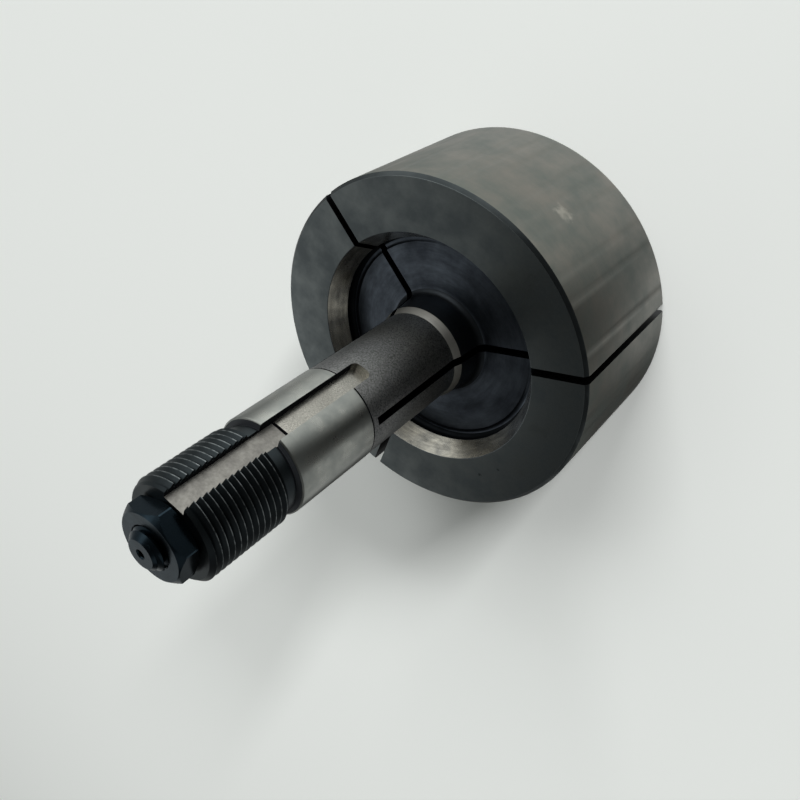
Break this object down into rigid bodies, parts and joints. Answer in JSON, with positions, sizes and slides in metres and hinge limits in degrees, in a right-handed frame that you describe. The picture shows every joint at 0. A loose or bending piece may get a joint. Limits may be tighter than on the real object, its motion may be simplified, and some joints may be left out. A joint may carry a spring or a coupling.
{
  "type": "lathe collet",
  "caption": "Expanding lathe collet with a thick split head, keyed and threaded draw shank, draw bolt and thin hexagon nut.",
  "frame": {"origin": "centre of the head's flat front face, on which the collet stands", "axes": "+Z along the axis from the head to the threaded tail; the keyway faces -Y, one slot faces +Y"},
  "size_m": [0.097, 0.097, 0.1412],
  "materials": {
    "collet_steel": "dark hardened steel, satin, with a bright ground guide",
    "blackened_steel": "black oxide, satin"
  },
  "bodies": {
    "collet": {"collet_body": "collet_steel"},
    "bolt": {"draw_bolt": "blackened_steel"},
    "nut": {"draw_nut": "blackened_steel"}
  },
  "joints": [
    {"name": "nut_turn", "type": "hinge", "parent": "collet", "child": "nut", "pos_m": [0, 0, 0.1364], "axis": [0, 0, 1], "range_deg": [0, 480]},
    {"name": "bolt_slide", "type": "slide", "parent": "collet", "child": "bolt", "axis": [0, 0, -1], "range_m": [0, 0.002]}
  ],
  "couplings": [
    {"joint": "nut_turn", "follows": "bolt_slide", "rad_per_m": 4188.8}
  ]
}
